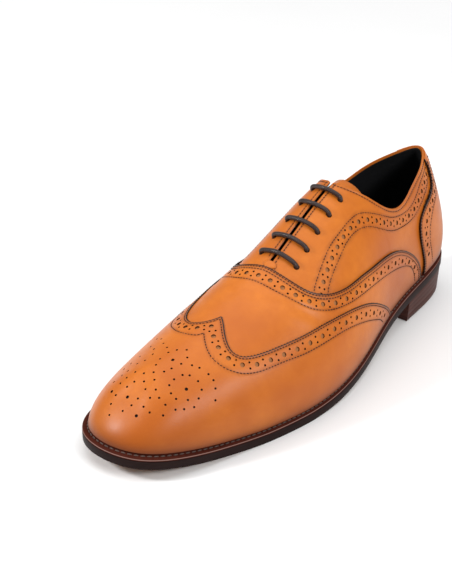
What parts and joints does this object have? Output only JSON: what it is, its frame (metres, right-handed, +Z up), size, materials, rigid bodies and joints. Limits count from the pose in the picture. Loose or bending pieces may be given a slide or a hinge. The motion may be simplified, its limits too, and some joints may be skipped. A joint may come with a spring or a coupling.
{
  "type": "oxford shoe",
  "caption": "Left oxford shoe with a perforated wing cap, closed laced throat, welted sole and stacked heel, standing empty on its sole.",
  "frame": {"origin": "centre of the bounding box in plan, on the floor that the heel and the tread stand on", "axes": "+Z up, toe towards -Y, outside of the left foot towards +X"},
  "size_m": [0.0992, 0.303, 0.1057],
  "materials": {
    "tan_leather": "satin",
    "welt_leather": "satin",
    "sole_leather": "satin",
    "insole_cover": "matte",
    "heel_stack": "satin",
    "lace_cord": "matte"
  },
  "bodies": {
    "root": {"upper": "tan_leather", "wing_cap": "tan_leather", "vamp": "tan_leather", "heel_counter": "tan_leather", "tongue": "tan_leather", "welt": "welt_leather", "outsole": "sole_leather", "insole": "insole_cover", "heel": "heel_stack", "lace": "lace_cord"}
  },
  "joints": []
}
